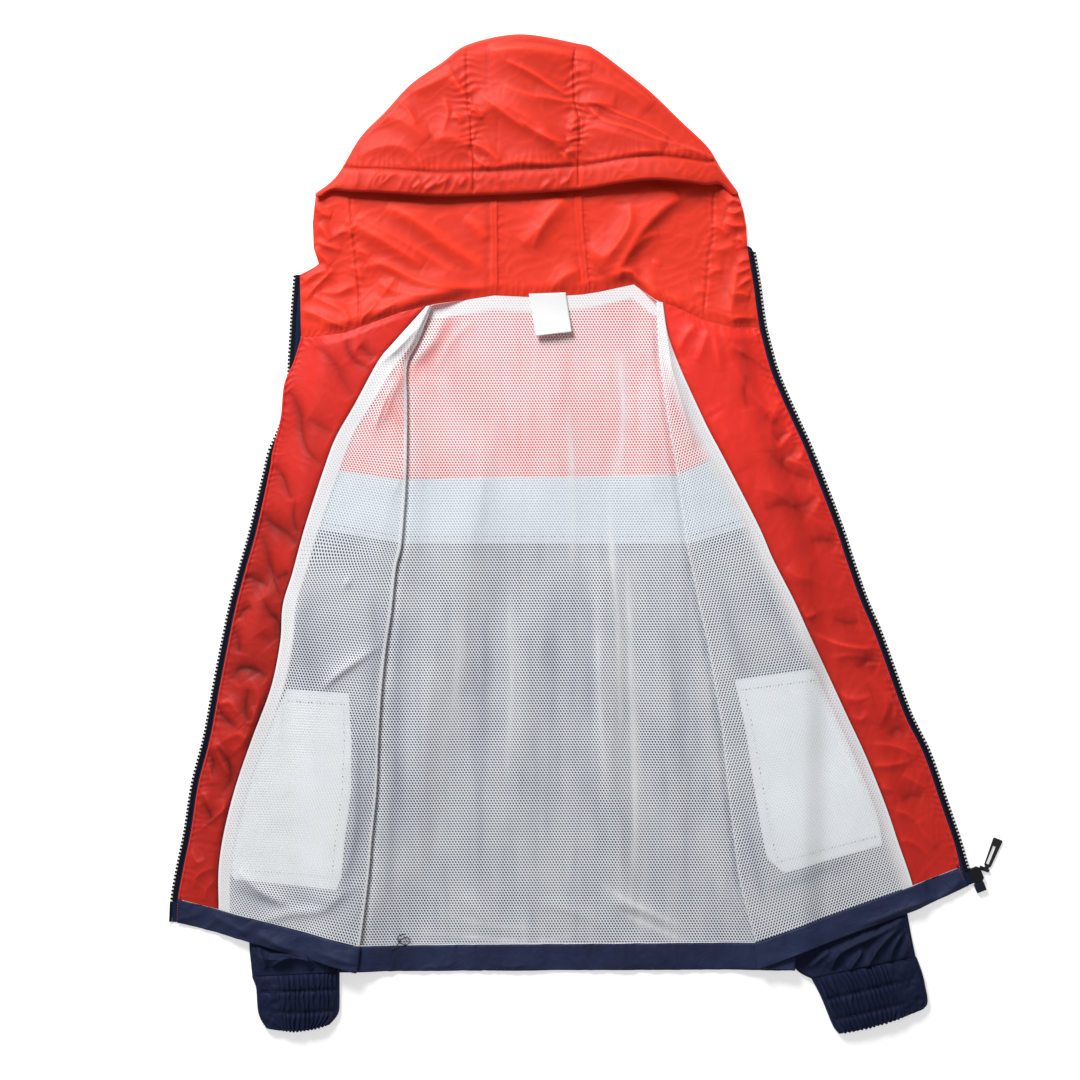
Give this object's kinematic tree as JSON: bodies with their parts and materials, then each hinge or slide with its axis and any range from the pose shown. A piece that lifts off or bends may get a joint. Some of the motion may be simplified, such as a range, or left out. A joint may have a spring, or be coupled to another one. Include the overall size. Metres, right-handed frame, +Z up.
{
  "type": "windbreaker_jacket",
  "caption": "Hooded colour-blocked windbreaker jacket laid open on its back, with its mesh lining and red facings up and its sleeves folded underneath",
  "frame": {"origin": "on the surface the jacket lies on, under the middle of its back, where the cloth rests flat", "axes": "+Y runs up the jacket to the hood, +Z is up off the surface, +X is to the right as seen from above"},
  "size_m": [0.902, 1.0809, 0.019],
  "materials": {
    "red_cloth": "satin",
    "navy_cloth": "satin",
    "pale_cloth": "satin",
    "white_cloth": "matte",
    "mesh_cloth": "matte",
    "navy_tape": "matte",
    "black_plastic": "satin",
    "navy_plastic": "satin",
    "black_metal": "satin",
    "black_rubber": "matte"
  },
  "bodies": {
    "jacket": {"back_band": "pale_cloth", "back_lining": "mesh_cloth", "back_lower": "navy_cloth", "back_yoke": "red_cloth", "cuff_left": "navy_cloth", "cuff_right": "navy_cloth", "facing_left": "red_cloth", "facing_right": "red_cloth", "front_left_band": "pale_cloth", "front_left_lower": "navy_cloth", "front_left_yoke": "red_cloth", "front_right_band": "pale_cloth", "front_right_lower": "navy_cloth", "front_right_yoke": "red_cloth", "hem_back": "navy_cloth", "hem_front_left": "navy_cloth", "hem_front_right": "navy_cloth", "hood_centre": "red_cloth", "hood_left": "red_cloth", "hood_right": "red_cloth", "lining_front_left": "mesh_cloth", "lining_front_right": "mesh_cloth", "neck_label": "white_cloth", "pocket_left": "white_cloth", "pocket_right": "white_cloth", "sleeve_left": "navy_cloth", "sleeve_right": "navy_cloth", "zip_box": "navy_plastic", "zip_chain_left": "black_plastic", "zip_chain_right": "black_plastic", "zip_pin": "black_plastic", "zip_slider": "black_metal", "zip_tape_left": "navy_tape", "zip_tape_right": "navy_tape"},
    "pull_tab": {"pull_tab": "black_rubber"}
  },
  "joints": [
    {"name": "pull_tab_swing", "type": "hinge", "parent": "jacket", "child": "pull_tab", "pos_m": [0.436, -0.3645, 0.0021], "axis": [0.9267, -0.3759, 0], "range_deg": [0, 90]}
  ]
}
